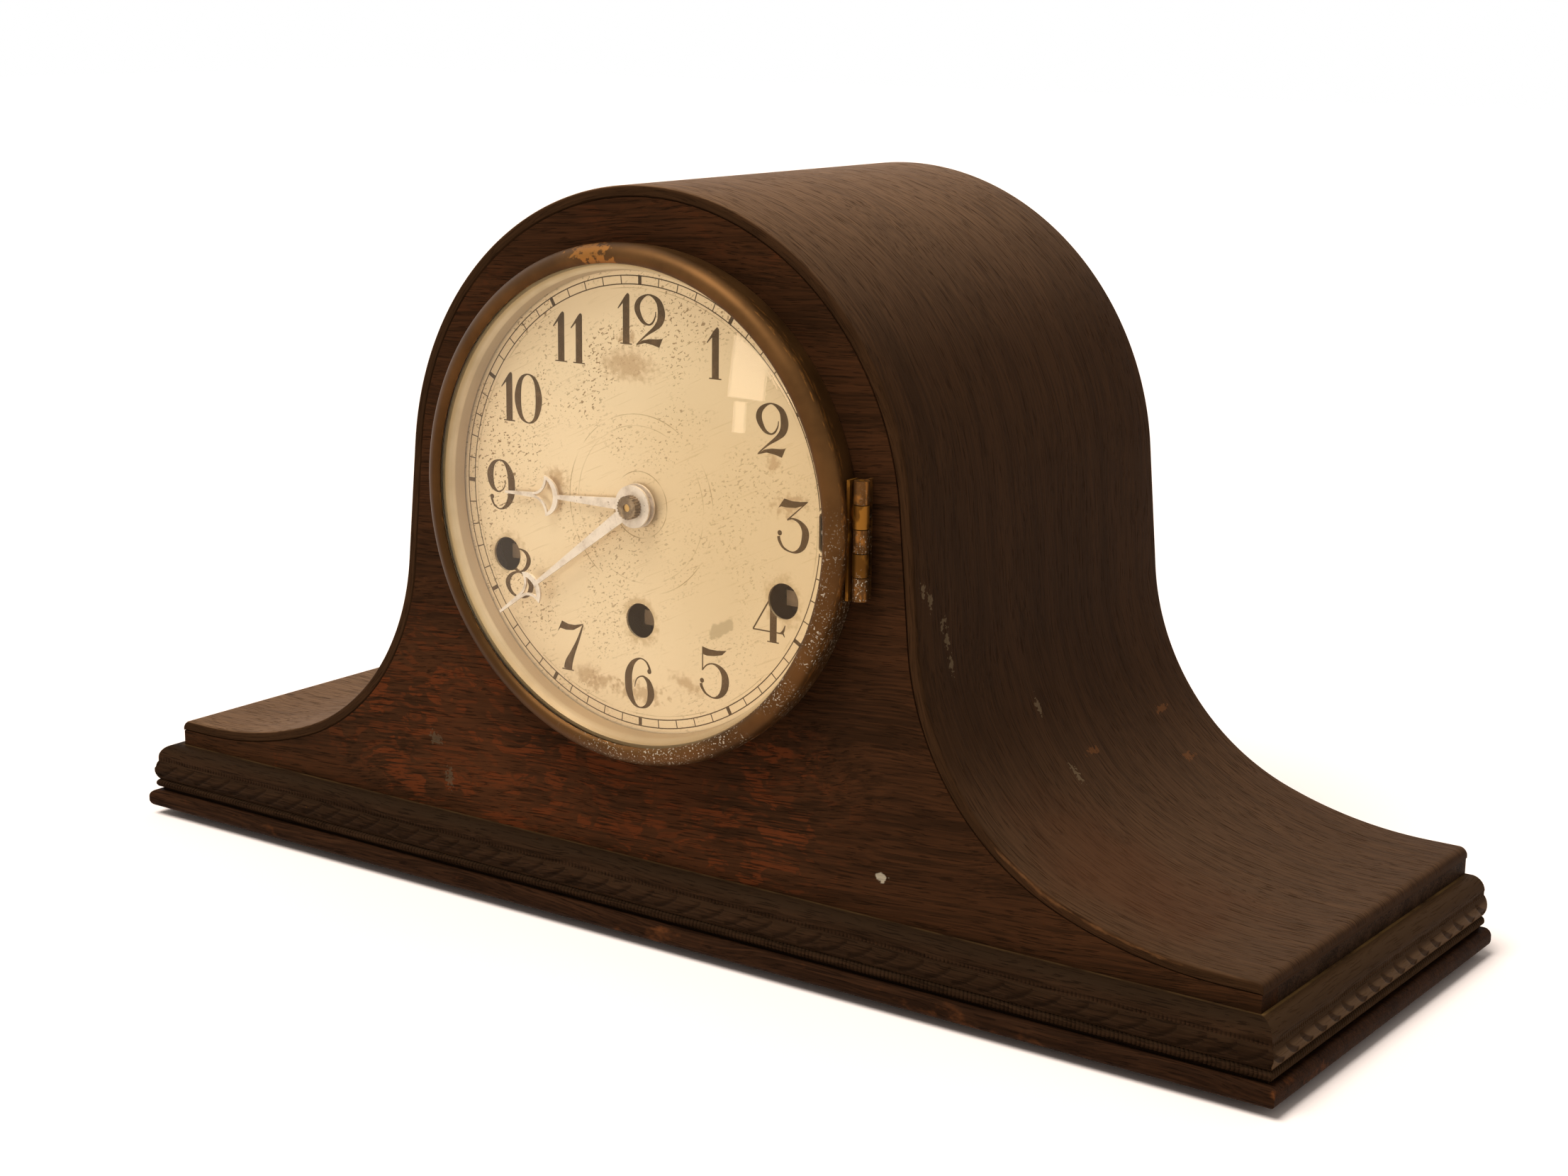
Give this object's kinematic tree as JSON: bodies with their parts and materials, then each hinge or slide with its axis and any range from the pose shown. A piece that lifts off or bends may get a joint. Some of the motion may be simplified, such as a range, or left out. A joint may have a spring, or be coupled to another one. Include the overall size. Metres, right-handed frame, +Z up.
{
  "type": "table clock",
  "caption": "Hat-shaped oak table clock with a silvered dial under a hinged convex glass, wound through the dial, striking and chiming on rods inside.",
  "frame": {"origin": "under the middle of the clock, on the surface that its feet stand on", "axes": "+X to the right of the dial, +Y from the dial to the back, +Z up"},
  "size_m": [0.438, 0.1662, 0.2338],
  "materials": {
    "oak_front": "waxed dark oak, worn",
    "oak_wrap": "waxed dark oak veneer, worn",
    "oak_moulding": "carved dark oak",
    "oak_back": "plain dark oak",
    "foot_wood": "dark turned wood",
    "bezel_brass": "patinated, worn bright on its edges",
    "hinge_brass": "worn",
    "sight_metal": "silvered",
    "clear_glass": "polished",
    "dial_silver": "silvered, aged",
    "dial_ink": "printed, matt",
    "hand_steel": "plated, a little rusted",
    "nut_bronze": "bronzed",
    "movement_brass": "brushed",
    "movement_steel": "turned",
    "rod_iron": "plain casting"
  },
  "bodies": {
    "case": {"front_panel": "oak_front", "case_wrap": "oak_wrap", "shoulder_blocks": "oak_wrap", "plinth_moulding_front": "oak_moulding", "plinth_moulding_left": "oak_moulding", "plinth_moulding_right": "oak_moulding", "base_board": "oak_moulding", "back_panel": "oak_back", "base_feet": "foot_wood", "case_hinge_leaf": "hinge_brass", "bezel_hinge_pin": "hinge_brass", "door_frame_leaves": "hinge_brass", "door_hinge_pins": "hinge_brass", "dial_plate": "dial_silver", "dial_screws": "movement_steel", "front_plate": "movement_brass", "back_plate": "movement_brass", "plate_pillars": "movement_brass", "mounting_lugs": "movement_brass", "movement_screws": "movement_steel", "suspension_cock": "movement_brass", "chime_rods": "movement_steel", "rod_block": "rod_iron"},
    "bezel": {"bezel_ring": "bezel_brass", "bezel_tab": "bezel_brass", "bezel_hinge_leaf": "hinge_brass", "sight_ring": "sight_metal", "glass": "clear_glass"},
    "rear_door": {"rear_door": "oak_back", "door_leaves": "hinge_brass"},
    "turn_button": {"door_turn_button": "hinge_brass"},
    "minute_hand": {"minute_hand": "hand_steel", "hand_nut": "nut_bronze", "cannon_pinion": "movement_brass"},
    "hour_hand": {"hour_hand": "hand_steel", "hour_wheel": "movement_brass"},
    "minute_wheel": {"minute_wheel": "movement_brass"},
    "third_wheel": {"third_wheel": "movement_brass"},
    "centre_wheel": {"centre_wheel": "movement_brass"},
    "second_wheel": {"second_wheel": "movement_brass"},
    "going_barrel": {"going_barrel": "movement_brass"},
    "escape_wheel": {"escape_wheel": "movement_brass"},
    "pendulum": {"pendulum_rod": "movement_steel", "pendulum_bob": "movement_brass", "rating_nut": "movement_brass"},
    "anchor": {"pallet_anchor": "movement_steel"},
    "going_winder": {"going_winder": "movement_steel"},
    "strike_winder": {"strike_winder": "movement_steel"},
    "chime_winder": {"chime_winder": "movement_steel"},
    "strike_wheel": {"strike_wheel": "movement_brass"},
    "strike_barrel": {"strike_barrel": "movement_brass"},
    "strike_fly": {"strike_fly": "movement_brass"},
    "chime_drum": {"chime_drum": "movement_brass"},
    "chime_barrel": {"chime_barrel": "movement_brass"},
    "chime_fly": {"chime_fly": "movement_brass"},
    "silent_lever": {"silent_lever": "movement_steel"},
    "chime_hammer_1": {"chime_hammer_1": "movement_brass"},
    "chime_hammer_2": {"chime_hammer_2": "movement_brass"},
    "chime_hammer_3": {"chime_hammer_3": "movement_brass"},
    "chime_hammer_4": {"chime_hammer_4": "movement_brass"}
  },
  "joints": [
    {"name": "bezel_swing", "type": "hinge", "parent": "case", "child": "bezel", "pos_m": [0.0819, -0.07005, 0.1384], "axis": [0, 0, 1], "range_deg": [0, 115]},
    {"name": "rear_door_swing", "type": "hinge", "parent": "case", "child": "rear_door", "pos_m": [-0.0617, 0.08115, 0.1384], "axis": [0, 0, 1], "range_deg": [0, 150]},
    {"name": "turn_button_turn", "type": "hinge", "parent": "case", "child": "turn_button", "pos_m": [0.069, 0.07885, 0.1084], "axis": [0, 1, 0], "range_deg": [0, 90]},
    {"name": "minute_hand_turn", "type": "hinge", "parent": "case", "child": "minute_hand", "pos_m": [0, -0.06515, 0.1384], "axis": [0, 1, 0], "continuous": true},
    {"name": "hour_hand_turn", "type": "hinge", "parent": "case", "child": "hour_hand", "pos_m": [0, -0.06515, 0.1384], "axis": [0, 1, 0], "continuous": true},
    {"name": "minute_wheel_turn", "type": "hinge", "parent": "case", "child": "minute_wheel", "pos_m": [0.0092, -0.06515, 0.1292], "axis": [0, 1, 0], "continuous": true},
    {"name": "third_wheel_turn", "type": "hinge", "parent": "case", "child": "third_wheel", "pos_m": [0.013, -0.06515, 0.15615], "axis": [0, 1, 0], "continuous": true},
    {"name": "centre_wheel_turn", "type": "hinge", "parent": "case", "child": "centre_wheel", "pos_m": [0, -0.06515, 0.1384], "axis": [0, 1, 0], "continuous": true},
    {"name": "second_wheel_turn", "type": "hinge", "parent": "case", "child": "second_wheel", "pos_m": [-0.017, -0.06515, 0.1229], "axis": [0, 1, 0], "continuous": true},
    {"name": "going_barrel_turn", "type": "hinge", "parent": "case", "child": "going_barrel", "pos_m": [0, -0.06515, 0.1025], "axis": [0, 1, 0], "continuous": true},
    {"name": "escape_wheel_turn", "type": "hinge", "parent": "case", "child": "escape_wheel", "pos_m": [0, -0.06515, 0.17135], "axis": [0, 1, 0], "continuous": true},
    {"name": "going_winder_turn", "type": "hinge", "parent": "case", "child": "going_winder", "pos_m": [0, -0.06515, 0.1025], "axis": [0, 1, 0], "continuous": true},
    {"name": "strike_winder_turn", "type": "hinge", "parent": "case", "child": "strike_winder", "pos_m": [-0.05325, -0.06515, 0.1162], "axis": [0, 1, 0], "continuous": true},
    {"name": "chime_winder_turn", "type": "hinge", "parent": "case", "child": "chime_winder", "pos_m": [0.05325, -0.06515, 0.1162], "axis": [0, 1, 0], "continuous": true},
    {"name": "strike_wheel_turn", "type": "hinge", "parent": "case", "child": "strike_wheel", "pos_m": [-0.045, -0.06515, 0.1414], "axis": [0, 1, 0], "continuous": true},
    {"name": "strike_barrel_turn", "type": "hinge", "parent": "case", "child": "strike_barrel", "pos_m": [-0.05325, -0.06515, 0.1162], "axis": [0, 1, 0], "continuous": true},
    {"name": "strike_fly_turn", "type": "hinge", "parent": "case", "child": "strike_fly", "pos_m": [-0.0479, -0.06515, 0.1578], "axis": [0, 1, 0], "continuous": true},
    {"name": "chime_drum_turn", "type": "hinge", "parent": "case", "child": "chime_drum", "pos_m": [0.045, -0.06515, 0.1414], "axis": [0, 1, 0], "continuous": true},
    {"name": "chime_barrel_turn", "type": "hinge", "parent": "case", "child": "chime_barrel", "pos_m": [0.05325, -0.06515, 0.1162], "axis": [0, 1, 0], "continuous": true},
    {"name": "chime_fly_turn", "type": "hinge", "parent": "case", "child": "chime_fly", "pos_m": [0.0479, -0.06515, 0.1578], "axis": [0, 1, 0], "continuous": true},
    {"name": "pendulum_swing", "type": "hinge", "parent": "case", "child": "pendulum", "pos_m": [0, -0.00015, 0.1864], "axis": [0, 1, 0], "range_deg": [-3, 3]},
    {"name": "anchor_rock", "type": "hinge", "parent": "case", "child": "anchor", "pos_m": [0, -0.00715, 0.1864], "axis": [0, 1, 0], "range_deg": [-3, 3]},
    {"name": "silent_lever_turn", "type": "hinge", "parent": "case", "child": "silent_lever", "pos_m": [0.05, -0.05615, 0.1384], "axis": [0, 1, 0], "range_deg": [-12, 12]},
    {"name": "chime_hammer_1_lift", "type": "hinge", "parent": "case", "child": "chime_hammer_1", "pos_m": [0.044, 0.00885, 0.0824], "axis": [0, -1, 0], "range_deg": [0, 12]},
    {"name": "chime_hammer_2_lift", "type": "hinge", "parent": "case", "child": "chime_hammer_2", "pos_m": [0.044, 0.01685, 0.0824], "axis": [0, -1, 0], "range_deg": [0, 12]},
    {"name": "chime_hammer_3_lift", "type": "hinge", "parent": "case", "child": "chime_hammer_3", "pos_m": [0.044, 0.02485, 0.0824], "axis": [0, -1, 0], "range_deg": [0, 12]},
    {"name": "chime_hammer_4_lift", "type": "hinge", "parent": "case", "child": "chime_hammer_4", "pos_m": [0.044, 0.03285, 0.0824], "axis": [0, -1, 0], "range_deg": [0, 12]}
  ],
  "couplings": [
    {"joint": "hour_hand_turn", "follows": "minute_hand_turn", "ratio": 0.083333},
    {"joint": "minute_wheel_turn", "follows": "minute_hand_turn", "ratio": -0.33333},
    {"joint": "centre_wheel_turn", "follows": "minute_hand_turn", "ratio": 1},
    {"joint": "second_wheel_turn", "follows": "minute_hand_turn", "ratio": -0.16667},
    {"joint": "going_barrel_turn", "follows": "minute_hand_turn", "ratio": 0.027778},
    {"joint": "third_wheel_turn", "follows": "minute_hand_turn", "ratio": -12},
    {"joint": "escape_wheel_turn", "follows": "minute_hand_turn", "ratio": 132},
    {"joint": "anchor_rock", "follows": "pendulum_swing", "ratio": 1},
    {"joint": "strike_barrel_turn", "follows": "strike_wheel_turn", "ratio": -0.16667},
    {"joint": "strike_fly_turn", "follows": "strike_wheel_turn", "ratio": -8.25},
    {"joint": "chime_barrel_turn", "follows": "chime_drum_turn", "ratio": -0.16667},
    {"joint": "chime_fly_turn", "follows": "chime_drum_turn", "ratio": -8.25}
  ]
}
